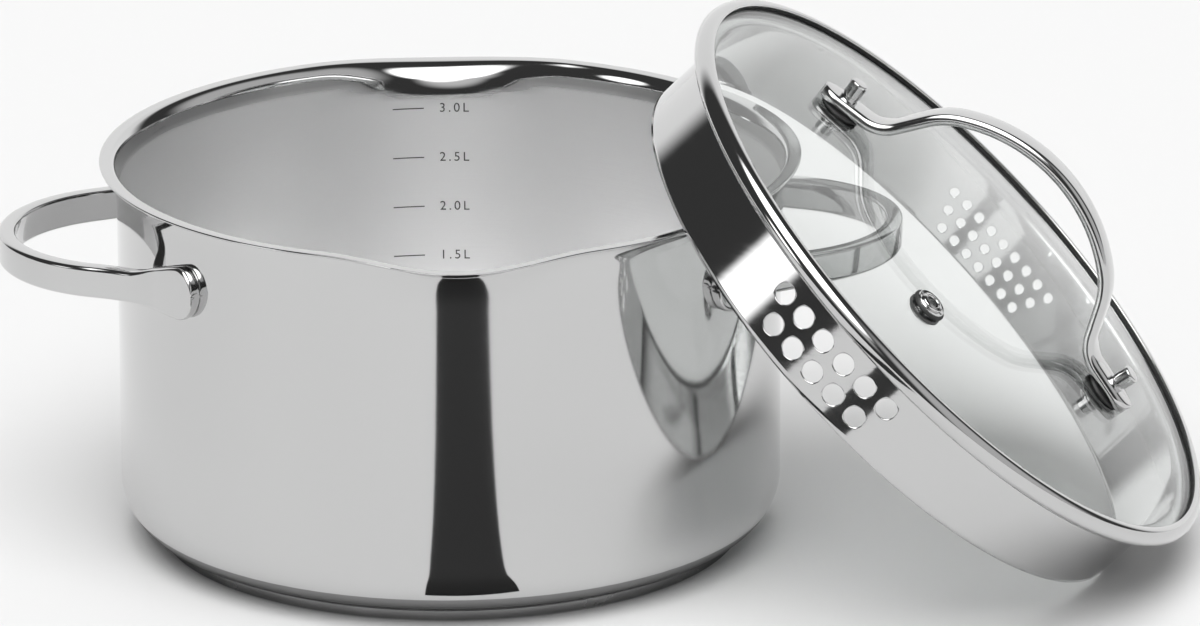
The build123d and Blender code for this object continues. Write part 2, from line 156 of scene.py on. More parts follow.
# %% A profile turned round an axis, and the parts that a profile is made of
def turned(name, profile, axes=WORLD, origin=ORIGIN, steps=96, closed=False):
    """A profile of (radius, height) points carried round the third axis.

    Point (i, j) is (r cos t, r sin t, z), where t is the j-th part of a full turn.
    """
    profile = np.asarray(profile, float)
    t = np.linspace(0, 2 * math.pi, steps, endpoint=False)
    r, z = profile[:, :1], profile[:, 1:]
    points = np.stack([r * np.cos(t), r * np.sin(t), z + 0 * t], -1)
    faces = grid_faces(len(profile), steps, closed, True)
    return mesh_piece(name, place(points, axes, origin), faces)


def arc(centre, radius, start, end, count):
    """Points on an arc between two angles in degrees: centre + radius * (cos t, sin t)."""
    t = np.radians(np.linspace(start, end, count))
    return np.stack([centre[0] + radius * np.cos(t), centre[1] + radius * np.sin(t)], -1)


def joined(*parts):
    """Profile parts end to end."""
    return np.concatenate([np.atleast_2d(np.asarray(p, float)) for p in parts])


def between(start, end, count):
    """Evenly spaced points on a straight line."""
    return np.linspace(start, end, count)


def eased(value, low, high):
    """0 below low, 1 above high, and 3 s^2 - 2 s^3 between."""
    s = np.clip((value - low) / (high - low), 0, 1)
    return s * s * (3 - 2 * s)


print("halfway eased", eased(0.5, 0, 1), "and an arc's ends", arc((0, 0), 1, 0, 90, 2).round(2).tolist())

# %% [markdown]
# ## Finishes
# Polished steel is a metal with very little roughness. It still isn't a perfect mirror:
# fine polishing lines and a slow waviness in the sheet spread the reflections a little. An
# image of scratches would do it too, but it needs unwrapping, and it blurs up close. A noise
# texture on Object coordinates stays sharp and stays on the piece, so it drives roughness
# and bump here, and one metal function makes every steel.


# %% A metal and its surface detail
def new_material(name):
    """An empty node material: its tree, its shader and its output."""
    material = bpy.data.materials.new(name)
    material.use_nodes = True
    tree = material.node_tree
    return material, tree, tree.nodes["Principled BSDF"]


def stretched_noise(tree, scale, stretch, detail=4.0):
    """Noise on Object coordinates, stretched along the axes."""
    coordinates = tree.nodes.new("ShaderNodeTexCoord")
    mapping = tree.nodes.new("ShaderNodeMapping")
    mapping.inputs["Scale"].default_value = stretch
    noise = tree.nodes.new("ShaderNodeTexNoise")
    noise.inputs["Scale"].default_value = scale
    noise.inputs["Detail"].default_value = detail
    tree.links.new(coordinates.outputs["Object"], mapping.inputs["Vector"])
    tree.links.new(mapping.outputs["Vector"], noise.inputs["Vector"])
    return noise


NOISE_USUAL = (0.3, 0.7)
WHOLE_MASK = (0.0, 1.0)


def spread(tree, source, low, high, from_range=NOISE_USUAL, output=0):
    """A value carried in a straight line from one range to another, and held at its ends."""
    ranger = tree.nodes.new("ShaderNodeMapRange")
    ranger.inputs["From Min"].default_value, ranger.inputs["From Max"].default_value = from_range
    ranger.inputs["To Min"].default_value = low
    ranger.inputs["To Max"].default_value = high
    tree.links.new(source.outputs[output], ranger.inputs["Value"])
    return ranger


def bumped(tree, shader, source, strength, distance):
    """The source's height pushed into the shader's normal."""
    bump = tree.nodes.new("ShaderNodeBump")
    bump.inputs["Strength"].default_value = strength
    bump.inputs["Distance"].default_value = distance
    tree.links.new(source.outputs[0], bump.inputs["Height"])
    tree.links.new(bump.outputs["Normal"], shader.inputs["Normal"])
    return bump


SLIGHT = 0.0002


def steel(name, colour, rough_low, rough_high, scale, stretch, strength):
    """A metal whose roughness and slope follow one stretched noise."""
    material, tree, shader = new_material(name)
    shader.inputs["Metallic"].default_value = 1.0
    shader.inputs["Base Color"].default_value = (*colour, 1)
    noise = stretched_noise(tree, scale, stretch)
    ranger = spread(tree, noise, rough_low, rough_high)
    tree.links.new(ranger.outputs["Result"], shader.inputs["Roughness"])
    bumped(tree, shader, noise, strength, SLIGHT)
    return material


EVEN = (1, 1, 1)
POLISHED = steel("polished_steel", (0.60, 0.60, 0.60), 0.05, 0.09, 60, (1, 1, 12), 0.02)
print("first finish", POLISHED.name)


# %% The pot's own steel
def pot_steel(name):
    """Polished outside, satin inside: a point attribute mixes the two finishes, and it also gives the
    inside a lighter base colour, which is painted light.
    """
    material, tree, shader = new_material(name)
    shader.inputs["Metallic"].default_value = 1.0
    mask = tree.nodes.new("ShaderNodeAttribute")
    mask.attribute_name = "satin_and_painted_light"
    wall_noise = spread(tree, stretched_noise(tree, 30, (1, 1, 0.2)), 0.04, 0.08)
    satin_noise = stretched_noise(tree, 40, (1, 1, 60))
    satin_rough = spread(tree, satin_noise, 0.33, 0.43)
    rough = tree.nodes.new("ShaderNodeMix")
    tree.links.new(mask.outputs["Fac"], rough.inputs["Factor"])
    tree.links.new(wall_noise.outputs["Result"], rough.inputs["A"])
    tree.links.new(satin_rough.outputs["Result"], rough.inputs["B"])
    tree.links.new(rough.outputs["Result"], shader.inputs["Roughness"])
    # Painted light: the inside's base colour rises from 0.60 to 0.93, brighter than steel is, to stand
    # for the light that falls on the inside wall.
    colour = spread(tree, mask, 0.60, 0.93, WHOLE_MASK, "Fac")
    tree.links.new(colour.outputs["Result"], shader.inputs["Base Color"])
    brushing = spread(tree, mask, 0.0, 0.25, WHOLE_MASK, "Fac")
    bump = bumped(tree, shader, satin_noise, 0.25, SLIGHT)
    tree.links.new(brushing.outputs["Result"], bump.inputs["Strength"])
    return material


POT_STEEL = pot_steel("pot_steel_two_finishes_painted_light_inside")
CORE = steel("core_aluminium", (0.62, 0.62, 0.63), 0.35, 0.5, 90, EVEN, 0.05)
TURNED = steel("base_turned_steel", (0.55, 0.55, 0.55), 0.15, 0.28, 80, EVEN, 0.05)
print("and", POT_STEEL.name, CORE.name, TURNED.name)

# %% [markdown]
# ## Soft seals and glass
# The gaskets are dark silicone, which is dull with a soft highlight. The pane is tempered
# glass. Transmission makes a shader see through and bend light, and that only looks right
# on a closed mesh with a real thickness, which the pane has.


# %% Silicone and clear glass
def rubber(name, colour):
    """Dark silicone: soft highlights and a fine speckle in its roughness."""
    material, tree, shader = new_material(name)
    shader.inputs["Base Color"].default_value = (*colour, 1)
    noise = stretched_noise(tree, 900, EVEN)
    ranger = spread(tree, noise, 0.45, 0.65)
    tree.links.new(ranger.outputs["Result"], shader.inputs["Roughness"])
    bumped(tree, shader, noise, 0.1, SLIGHT / 2)
    return material


def clear_glass(name):
    """Tempered glass: clear, faintly grey, with hardly visible smears in its roughness."""
    material, tree, shader = new_material(name)
    shader.inputs["Base Color"].default_value = (0.88, 0.90, 0.89, 1)
    shader.inputs["Transmission Weight"].default_value = 1.0
    shader.inputs["IOR"].default_value = 1.5
    noise = stretched_noise(tree, 25, EVEN)
    ranger = spread(tree, noise, 0.0, 0.02)
    tree.links.new(ranger.outputs["Result"], shader.inputs["Roughness"])
    return material


SILICONE = rubber("dark_silicone", (0.02, 0.02, 0.02))
GLASS = clear_glass("tempered_glass")
print("also", SILICONE.name, GLASS.name)


# %% Give a finished piece its finish, its body and its CAD node
def finish_piece(piece, material, body, slot, *nodes):
    """Set the material, ride on the body and stand for CAD nodes. The slot is not used."""
    piece.data.materials.append(material)
    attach(piece, body)
    if nodes:
        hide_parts(*nodes)
    return piece


print("every piece is finished the same way")


# %% [markdown]
# ## The pot
# The pot is one drawn sheet. Its section is a straight wall that rolls into the bottom
# through a large corner, and at the top it flares into a narrow flat lip. At the front and
# the back a spout pushes the lip outwards and down. The Spin tool could turn the section, but
# the spouts would then need sculpting, and that shows as dents in a mirror. Here the pot is
# one profile carried round the axis, and each point of it has a weight that says how much
# the spout moves it: 1 at the lip, 0 well below. A second weight marks the satin inside. It
# also makes the inside's base colour lighter, as painted light for the light falling there.

# %% The pot's section
WALL, SHEET, HEIGHT, CORNER = 100.8, 0.8, 118.4, 15.0
LIP, LIP_WIDTH, FLARE_HEIGHT = 106.0, 3.3, 6.0
SPOUT_HALF_ANGLE, SPOUT_PUSH, SPOUT_DROP, SPOUT_DEPTH = 23.0, 5.5, 2.5, 15.0
BASE_HEIGHT, BASE_RADIUS = 3.3, 89.0
crest = LIP - LIP_WIDTH
corner_centre = (WALL - CORNER, BASE_HEIGHT + CORNER)


def flare_line(start_radius, top, end_radius, count=14):
    """A quarter ellipse from a straight wall to a flat lip."""
    t = np.linspace(0, math.pi / 2, count)
    reach = end_radius - start_radius
    return np.stack([
        start_radius + reach * (1 - np.cos(t)),
        top - FLARE_HEIGHT + FLARE_HEIGHT * np.sin(t),
    ], -1)


print("lip in mm", LIP, "crest", round(crest, 1))

# %% The profile, from the middle of the underside round the lip to the middle of the floor
inner = WALL - SHEET
edge_centre = (LIP - SHEET / 2, HEIGHT - SHEET / 2)
wall_heights = between(BASE_HEIGHT + CORNER, HEIGHT - FLARE_HEIGHT, 40)[1:-1]
outer_wall, inner_wall = (
    np.stack([np.full(len(wall_heights), radius), heights], -1)
    for radius, heights in ((WALL, wall_heights), (inner, wall_heights[::-1]))
)
pot_section = joined(
    between((0, BASE_HEIGHT), (WALL - CORNER, BASE_HEIGHT), 12),
    arc(corner_centre, CORNER, -90, 0, 18)[1:],
    outer_wall,
    flare_line(WALL, HEIGHT - SHEET, crest),
    between((crest, HEIGHT - SHEET), (LIP - SHEET / 2, HEIGHT - SHEET), 5)[1:],
    arc(edge_centre, SHEET / 2, -90, 90, 9)[1:],
    between((LIP - SHEET / 2, HEIGHT), (crest, HEIGHT), 5)[1:],
    flare_line(inner, HEIGHT, crest)[::-1][1:],
    inner_wall,
    arc(corner_centre, CORNER - SHEET, 0, -90, 18),
    between((WALL - CORNER, BASE_HEIGHT + SHEET), (0, BASE_HEIGHT + SHEET), 12)[1:],
)
print("pot section points", len(pot_section))

# %% Carry it round with its two spouts
STEPS = 480
angle = np.linspace(0, 2 * math.pi, STEPS, endpoint=False)


def spout_bell(degrees):
    """1 in the middle of a spout, 0 at its edges: the square of a cosine."""
    off_spout = np.minimum(np.abs((degrees % 180) - 90) / SPOUT_HALF_ANGLE, 1)
    return np.cos(off_spout * math.pi / 2) ** 2


bell = spout_bell(np.degrees(angle))
section_r, section_z = pot_section[:, :1], pot_section[:, 1:]
weight = np.clip(1 - (HEIGHT - section_z) / SPOUT_DEPTH, 0, 1) ** 2
spouted_r = section_r + SPOUT_PUSH * weight * bell
spouted_z = section_z - SPOUT_DROP * weight * bell
pot_points = np.stack([spouted_r * np.cos(angle), spouted_r * np.sin(angle), spouted_z], -1)
pot = mesh_piece("pot", pot_points * MM, grid_faces(len(pot_section), STEPS, False, True))
finish_piece(pot, POT_STEEL, "pot", "pot_steel", "pot_body")
print("pot faces", len(pot.data.polygons))

# %% Mark the satin inside, whose lighter base colour is painted light
SATIN_DIP, SATIN_FADE = 5.5, 2.5
places = np.zeros(len(pot.data.vertices) * 3)
pot.data.vertices.foreach_get("co", places)
x, y, z = places.reshape(-1, 3).T / MM
r, bell = np.hypot(x, y), spout_bell(np.degrees(np.arctan2(y, x)))
corner_far = np.hypot(np.maximum(r - corner_centre[0], 0), np.minimum(z - corner_centre[1], 0))
inside = (r < WALL - SHEET / 2) & (corner_far < CORNER - SHEET / 2)
below = eased(HEIGHT - SATIN_DIP * bell - z, FLARE_HEIGHT, FLARE_HEIGHT + SATIN_FADE)
satin_and_painted_light = pot.data.attributes.new("satin_and_painted_light", "FLOAT", "POINT")
satin_and_painted_light.data.foreach_set("value", (inside * below).astype(np.float32))
print("pot points", len(z), "satin_and_painted_light", int(inside.sum()))

# %% [markdown]
# ## The capsule base
# Under the pot a thin steel cap holds an aluminium core that spreads the heat. The cap is a
# turned profile like the pot's. The core is out of sight, so its CAD node is kept as it is,
# and it only gets a finish in its material slots.

# %% The cap, and the finish of the core
BASE_SHEET, BASE_EDGE, UNDER_POT = 0.6, 0.55, 0.02
cap_inner, cap_top = BASE_RADIUS - BASE_SHEET, BASE_HEIGHT - UNDER_POT
cap = joined(
    (0, 0), between((60, 0), (BASE_RADIUS - BASE_EDGE, 0), 8),
    arc((BASE_RADIUS - BASE_EDGE, BASE_EDGE), BASE_EDGE, -90, 0, 7)[1:],
    (BASE_RADIUS, cap_top), (cap_inner, cap_top), (cap_inner, BASE_SHEET), (0, BASE_SHEET),
)
base = finish_piece(turned("base", cap, steps=240), TURNED, "pot", "base_steel", "base_cap")
core = frame["nodes"]["base_core"]
for slot in core.material_slots:
    slot.material = CORE
if not core.material_slots:
    core.data.materials.append(CORE)
print("base radius", BASE_RADIUS)

# %% [markdown]
# ## Volume lines
# A line and a label stand at each half litre on the back wall. On the real pot they are
# etched. A shader could draw the lines, but letters need an outline, so both are thin raised
# meshes. The label is a text curve made a mesh, its doubled points are merged to close it,
# and its flat x is then wrapped round the wall: the angle is x over the radius.

# %% Lines and numbers on the inner wall
MARK_HEIGHTS = {"3.0L": 102.6, "2.5L": 86.5, "2.0L": 70.4, "1.5L": 54.3}
ETCH = 0.06
LABEL_SIZE, LABEL_SPACING, LABEL_THINNED, LABEL_CENTRE = 4.2, 1.35, -0.008, 4.4
LINE_CENTRE, LINE_LENGTH, LINE_WIDTH, LINE_STEPS = -10.0, 9.8, 0.32, 9


def on_wall(points):
    """Flat points (x, height, out) wrapped on the back of the inner wall."""
    r = inner - 0.02 - points[:, 2]
    t = math.pi / 2 - points[:, 0] / inner
    return np.stack([r * np.cos(t), r * np.sin(t), points[:, 1]], -1) * MM


def label(text, height):
    """A number made a mesh and wrapped on the wall."""
    curve = bpy.data.curves.new("label", "FONT")
    curve.body = text
    curve.size = LABEL_SIZE
    curve.space_character = LABEL_SPACING
    curve.align_x = "CENTER"
    curve.align_y = "CENTER"
    curve.extrude = ETCH / 2
    curve.offset = LABEL_THINNED
    made = bpy.data.objects.new("label", curve)
    bpy.context.collection.objects.link(made)
    mesh = bpy.data.meshes.new_from_object(made)
    bpy.data.objects.remove(made)
    shell = bmesh.new()
    shell.from_mesh(mesh)
    bmesh.ops.remove_doubles(shell, verts=shell.verts, dist=1e-4)
    shell.to_mesh(mesh)
    shell.free()
    points = np.zeros(len(mesh.vertices) * 3)
    mesh.vertices.foreach_get("co", points)
    points = points.reshape(-1, 3) + (LABEL_CENTRE, height, ETCH / 2)
    mesh.vertices.foreach_set("co", on_wall(points).ravel())
    return mesh


print("label size in mm", LABEL_SIZE)

# %% Place a line and a label at each half litre
INK = steel("etched_mark", (0.10, 0.10, 0.10), 0.4, 0.6, 400, EVEN, 0.1)
for text, height in MARK_HEIGHTS.items():
    litres = text.replace(".", "_")
    mesh = label(text, height)
    number = bpy.data.objects.new(f"number_{litres}", mesh)
    bpy.context.collection.objects.link(number)
    finish_piece(number, INK, "pot", "pot_steel")
    along = LINE_CENTRE + np.linspace(-0.5, 0.5, LINE_STEPS) * LINE_LENGTH
    across = np.array([(-1, 0), (1, 0), (1, 1), (-1, 1)]) * (LINE_WIDTH / 2, ETCH)
    sides, outs = (np.tile(across[:, k], LINE_STEPS) for k in range(2))
    flat = np.stack([np.repeat(along, 4), height + sides, outs], -1)
    ends = ([3, 2, 1, 0], [len(flat) - 4 + k for k in range(4)])
    line = mesh_piece(
        f"line_{litres}", on_wall(flat), grid_faces(LINE_STEPS, 4, False, True), wide_faces=ends
    )
    finish_piece(line, INK, "pot", "pot_steel")
print("marks", list(MARK_HEIGHTS))

# %% [markdown]
# ## The pot's handles
# Each handle is a steel strap bent into a loop. Its two ends turn along the wall, widen
# into rounded pads and are welded on. A bevelled curve has one section all along, but here
# the strap gets thinner and taller where it becomes a pad. So the section is carried along
# the path as whole arrays: the path is drawn in plan from arcs, and the section is a rounded
# rectangle whose inner side is dished and whose height and thickness change on the way.


# %% The loop's path and the strap's section
def rounded_section(count=64):
    """A rounded rectangle in two parts, flat and round.

    A point on it is flat * (half size - corner radius) + round * corner radius. The round
    part is (cos t, sin t). The flat part is three times that, held between -1 and 1.
    """
    t = np.linspace(0, 2 * math.pi, count, endpoint=False)
    corner = np.stack([np.cos(t), np.sin(t)], -1)
    return np.clip(corner * 3.0, -1, 1), corner


def along_path(line, share=0.0, count=300):
    """Points on a line, closer together at its ends, with the tangents and distances there.

    The distance is s = L (1 - cos u) / 2 for u from 0 to pi, and share of it is even.
    """
    steps = np.r_[0, np.cumsum(np.linalg.norm(np.diff(line, axis=0), axis=1))]
    s = steps[-1] * (0.5 - 0.5 * np.cos(np.linspace(0, math.pi, count)))
    s = (1 - share) * s + share * np.linspace(0, steps[-1], count)
    path = np.stack([np.interp(s, steps, line[:, k]) for k in range(2)], -1)
    tangent = np.gradient(path, s, axis=0)
    return path, tangent / np.linalg.norm(tangent, axis=1, keepdims=True), s


def closed_ends(rings):
    """The rings with a ring shrunk to its middle added at each end."""
    first, last = (ring.mean(1, keepdims=True) + 0 * ring for ring in (rings[:1], rings[-1:]))
    return np.concatenate([first, rings, last])


print("section points", len(rounded_section()[0]))

# %% The path of a pot handle

NOSE_REACH, NOSE_RADIUS, NOSE_ANGLE = 137.0, 43.0, 70.0
STRAP_DEEP, PAD_DEEP = 5.5, 3.7
STRAP_BOTTOM, STRAP_TOP, PAD_TOP = 87.3, 97.0, 104.3
PAD_START, PAD_END, PAD_ROUND = 31.0, 41.0, 7.8
PAD_REACH, STRAP_REACH, THICKENS = 80.5, 99.0, (88, 100)
STRAP_EDGE, STRAP_DISH = 1.5, 0.7


def half_loop():
    """The outer face of half a loop in plan, from the nose to the pad's end.

    An arc, then a cubic (Hermite) curve that leaves along the arc and arrives along the
    wall, then an arc round the wall.
    """
    nose = arc((NOSE_REACH - NOSE_RADIUS, 0), NOSE_RADIUS, 0, NOSE_ANGLE, 60)
    wall = WALL + PAD_DEEP
    pad = arc((0, 0), wall, PAD_START, PAD_END, 30)
    start, end = nose[-1], pad[0]
    heading, settling = (arc((0, 0), 1, a + 90, a + 90, 1)[0] for a in (NOSE_ANGLE, PAD_START))
    pull = np.linalg.norm(end - start)
    t = np.linspace(0, 1, 40)[1:, None]
    neck = (
        (2 * t**3 - 3 * t**2 + 1) * start + (t**3 - 2 * t**2 + t) * pull * heading
        + (3 * t**2 - 2 * t**3) * end + (t**3 - t**2) * pull * settling
    )
    return joined(nose, neck, pad[1:])


outer_half = half_loop()
outer_face = joined(outer_half[::-1] * (1, -1), outer_half[1:])
path, tangent, s = along_path(outer_face)
print("loop length in mm", round(float(s[-1]), 1))

# %% Its thickness and height along the way
outward = np.stack([tangent[:, 1], -tangent[:, 0]], -1)
is_strap = eased(path[:, 0], PAD_REACH, STRAP_REACH)
top = PAD_TOP + (STRAP_TOP - PAD_TOP) * is_strap
thick = PAD_DEEP + (STRAP_DEEP - PAD_DEEP) * eased(path[:, 0], *THICKENS)
short = np.clip(1 - np.minimum(s, s[-1] - s) / PAD_ROUND, 0, 1)
half_height = (top - STRAP_BOTTOM) / 2 - PAD_ROUND * (1 - np.sqrt(1 - short**2))
middle = (top + STRAP_BOTTOM) / 2
print("height in mm", round(float(2 * half_height.max()), 1))

# %% Carry the section along the loop
flat, corner = rounded_section()
edge = np.minimum(STRAP_EDGE, half_height)[:, None]
depth = flat[:, 0] * (thick[:, None] / 2 - edge) + corner[:, 0] * edge
tall = flat[:, 1] * (half_height[:, None] - edge) + corner[:, 1] * edge
from_middle = tall / np.maximum(half_height, 0.1)[:, None]
dish = STRAP_DISH * is_strap[:, None] * (1 - from_middle**2) * (corner[:, 0] < 0)
depth = depth - thick[:, None] / 2 + dish
loop = closed_ends(np.stack([
    path[:, :1] + outward[:, :1] * depth,
    path[:, 1:] + outward[:, 1:] * depth,
    middle[:, None] + tall,
], -1))
for side, name in ((1, "right"), (-1, "left")):
    points = loop * (side, 1, 1) * MM
    handle = mesh_piece(f"{name}_loop", points, grid_faces(*loop.shape[:2], False, True))
    finish_piece(handle, POLISHED, "pot", "polished_steel", f"{name}_handle")
print("loop points", loop.shape)

# %% [markdown]
# ## The lid's steel rim
# One strip of steel is rolled into a short cylinder, the skirt, then out into a flange and
# up round the glass edge in a bead. The skirt has round straining holes. A Boolean could
# cut them, but it leaves long thin faces that dent the reflections. So the holes are laid
# out on the flat strip, as a sheet metal worker would: each hole sits in its own small
# cell, whose mesh runs from the circle to the cell's square edge, and the cells tile the
# strip. The flat strip is then bent along the rim's section, and a Solidify modifier gives
# it its thickness.

# %% The strip's section as a function of the distance along it
LID_SHEET, BEAD, LID_RADIUS, BEND = 0.6, 3.25, 106.4, 0.8
bead_at = LID_RADIUS - BEAD
rim_section = joined(
    (SKIRT_RADIUS, -SKIRT_DEPTH), (SKIRT_RADIUS, -BEND),
    arc((SKIRT_RADIUS + BEND, -BEND), BEND, 180, 90, 7)[1:],
    between((SKIRT_RADIUS + BEND, 0), (bead_at, 0), 4)[1:],
    arc((bead_at, BEAD), BEAD, -90, 90, 22)[1:],
    arc((bead_at, BEAD), BEAD, 90, 108, 4)[1:],
)
run = np.r_[0, np.cumsum(np.linalg.norm(np.diff(rim_section, axis=0), axis=1))]
levels_above = run[1:] - SKIRT_DEPTH
print("strip width in mm", round(run[-1], 1))


# %% A cell with a hole, and a cell without
def hole_cell(middle, height, width, tall, radius, per_side):
    """One cell: rings from the hole's circle to the cell's square edge.

    Ring k is circle + (square - circle) * k; square point i divides the sides evenly.
    """
    u = np.linspace(-1, 1, per_side + 1)[:-1]
    one = np.ones(per_side)
    square = np.concatenate([
        np.stack(side, -1) for side in ((one, u), (-u, one), (-one, -u), (u, -one))
    ]) * (width / 2, tall / 2)
    t = np.arctan2(square[:, 1] / tall, square[:, 0] / width)
    circle = radius * np.stack([np.cos(t), np.sin(t)], -1)
    k = np.array([1.0, 0.5, 0.18, 0])[:, None, None]
    rings = circle + (square - circle) * k
    return rings + (middle, height)


def plain_cell(left, right, low, high, columns, rows):
    """A rectangle of the strip with even columns and rows."""
    x, y = np.meshgrid(np.linspace(left, right, columns + 1), np.linspace(low, high, rows + 1))
    return np.stack([x, y], -1)


strip_points, strip_faces, seam_faces = [], [], []


def add_patch(grid, wrap_cols=False):
    """Keep a patch of the flat strip: its points (distance round, height) and its faces."""
    start = sum(len(p) for p in strip_points)
    faces = grid_faces(*grid.shape[:2], False, wrap_cols) + start
    strip_points.append(grid.reshape(-1, 2))
    strip_faces.append(faces)


print("rings in a hole's cell", len(hole_cell(0, 0, 2, 2, 0.5, 2)))


# %% A group of holes: staggered rows in a rectangle
def hole_group(middle, step, radius, rows, tall, per_side):
    """A block of staggered rows of holes, filled out to a rectangle of the skirt.

    Row k has its own height and number of holes, and hole i of n stands (i - (n - 1) / 2)
    cells from the middle. Gives the block's two edges and the heights of its mesh rows.
    """
    width = math.radians(step) * SKIRT_RADIUS
    most = max(n for _, n in rows)
    left, right = middle - most * width / 2, middle + most * width / 2
    for height, number in rows:
        for i in range(number):
            x = middle + (i - (number - 1) / 2) * width
            add_patch(hole_cell(x, height, width, tall, radius, per_side), True)
        spare = (most - number) / 2
        if spare:
            columns = int(spare * per_side)
            for a, b in ((left, left + spare * width), (right - spare * width, right)):
                add_patch(plain_cell(a, b, height - tall / 2, height + tall / 2, columns, per_side))
    top, bottom = rows[0][0] + tall / 2, rows[-1][0] - tall / 2
    columns = most * per_side
    add_patch(plain_cell(left, right, -SKIRT_DEPTH, bottom, columns, 2))
    add_patch(plain_cell(left, right, top, -BEND, columns, 3))
    levels = np.unique(np.round(np.r_[
        np.linspace(-SKIRT_DEPTH, bottom, 3),
        np.linspace(bottom, top, len(rows) * per_side + 1),
        np.linspace(top, -BEND, 4),
    ], 9))
    return (left, right), levels


quarter = math.pi / 2 * SKIRT_RADIUS
turned_by = math.radians(-6.0) * SKIRT_RADIUS
big_edges, big_levels = hole_group(
    quarter + turned_by, step=5.3, radius=3.3, rows=((-8.85, 6), (-17.6, 5)), tall=8.75, per_side=8
)
small_edges, small_levels = hole_group(
    3 * quarter + turned_by, step=3.25, radius=1.55,
    rows=((-10.3, 9), (-15.7, 8), (-21.1, 7)), tall=5.4, per_side=6,
)
print("patches with holes", len(strip_points))

# %% Plain stretches between the groups
# Their rows match the large holes, and a narrow face with many corners joins them to the
# small ones.
SEAM, STRETCH_STEPS = 1.2, 150
around_length = 2 * math.pi * SKIRT_RADIUS
for big, small, side in (
    (big_edges[1], small_edges[0], 1), (big_edges[0] + around_length, small_edges[1], -1)
):
    near = small - side * SEAM
    x, y = np.meshgrid(np.linspace(*sorted((big, near)), STRETCH_STEPS + 1), big_levels)
    add_patch(np.stack([x, y], -1))
    start = sum(len(p) for p in strip_points)
    ring = np.concatenate([
        np.stack([np.full(len(big_levels), near), big_levels], -1),
        np.stack([np.full(len(small_levels), small), small_levels[::-1]], -1),
    ])
    strip_points.append(ring)
    seam_faces.append((start + np.arange(len(ring)))[::-side])
print("plain stretches and seams", len(seam_faces))

# %% The flange and the bead, on the columns that the skirt's top has
flat_points = np.concatenate(strip_points)
flat_points[:, 0] = np.mod(flat_points[:, 0] + 1e-6, around_length) - 1e-6
at_top = np.abs(flat_points[:, 1] + BEND) < 1e-6
columns = np.unique(np.round(flat_points[at_top, 0], 5))
all_round = np.r_[columns, columns[0] + around_length]
add_patch(np.stack(np.meshgrid(all_round, np.r_[-BEND, levels_above[1:]]), -1))
flat_points = np.concatenate(strip_points)
print("columns round the rim", len(columns), "points", len(flat_points))

# %% Bend the strip along the section and round the lid
distance = flat_points[:, 1] + SKIRT_DEPTH
bent_r = np.interp(distance, run, rim_section[:, 0])
bent_z = np.interp(distance, run, rim_section[:, 1])
t = flat_points[:, 0] / SKIRT_RADIUS
rim_points = np.stack([bent_r * np.cos(t), bent_r * np.sin(t), bent_z], -1)
rim = mesh_piece(
    "lid_rim_steel", place(rim_points, LID_AXES, LID_ORIGIN), np.concatenate(strip_faces), 50,
    seam_faces, closed=False,
)
solid = rim.modifiers.new("sheet", "SOLIDIFY")
solid.thickness = LID_SHEET * MM
solid.offset = -1
solid.use_even_offset = True
finish_piece(rim, POLISHED, "lid", "lid_steel", "lid_rim")
print("rim faces", len(rim.data.polygons))

# %% [markdown]
# ## Glass, seal and vent
# The glass is a shallow spherical cap, thick as a pane, with a ground edge that a dark
# silicone seal holds in the bead. Near the side with the large holes a steel eyelet lets
# the steam out through the glass. All of them are turned profiles, because the real ones
# are round too, and a profile closes without any seam to tidy.

# %% The pane
GLASS_EDGE, GLASS_RISE, GLASS_LOW, THICK = 104.2, 11.5, 3.05, 3.6
SPHERE = (bead_at**2 + GLASS_RISE**2) / (2 * GLASS_RISE)


def dome(radius, offset=0.0):
    """Height of the dome at a radius: a sphere through the edge and the crown."""
    return GLASS_LOW + GLASS_RISE - SPHERE + np.sqrt((SPHERE + offset) ** 2 - np.asarray(radius) ** 2)


r = np.linspace(0, GLASS_EDGE - 0.6, 40)
high, low = dome(r, THICK / 2), dome(r, -THICK / 2)
glass_section = joined(
    np.stack([r, high], -1),
    (GLASS_EDGE, high[-1] - 0.8), (GLASS_EDGE, low[-1] + 0.8),
    np.stack([r, low], -1)[::-1],
)
glass = turned("lid_pane", glass_section, LID_AXES, LID_ORIGIN, 240)
finish_piece(glass, GLASS, "lid", "tempered_glass", "lid_glass")
print("dome height in mm", GLASS_RISE)

# %% The seal round its edge
SEAL_IN = 102.3
bore = BEAD - LID_SHEET - 0.03
glass_top, glass_low = (float(dome(GLASS_EDGE, side * THICK / 2)) for side in (1, -1))
seal_section = joined(
    (SEAL_IN, float(dome(SEAL_IN, THICK / 2)) + 0.02), (SEAL_IN, BEAD + bore - 0.1),
    arc((bead_at, BEAD), bore, 100, -90, 30), (SEAL_IN, BEAD - bore),
    (SEAL_IN, float(dome(SEAL_IN, -THICK / 2)) - 0.02), (GLASS_EDGE + 0.02, glass_low - 0.02),
    (GLASS_EDGE + 0.02, glass_top + 0.02),
)
seal = turned("glass_edge_seal", seal_section, LID_AXES, LID_ORIGIN, 240, closed=True)
finish_piece(seal, SILICONE, "lid", "silicone", "glass_seal")
print("seal points", len(seal_section))


# %% Small turned pieces on the glass
def tilted(offset_line, normal_lean, reach, height):
    """Axes and origin of a piece at a reach along a line on the lid, leaning outwards."""
    normal = LID_AXES[2] * math.cos(normal_lean) + offset_line * math.sin(normal_lean)
    across = np.cross(normal, offset_line)
    across /= np.linalg.norm(across)
    origin = LID_ORIGIN + offset_line * reach + LID_AXES[2] * height
    return np.array([across, np.cross(normal, across), normal]), origin


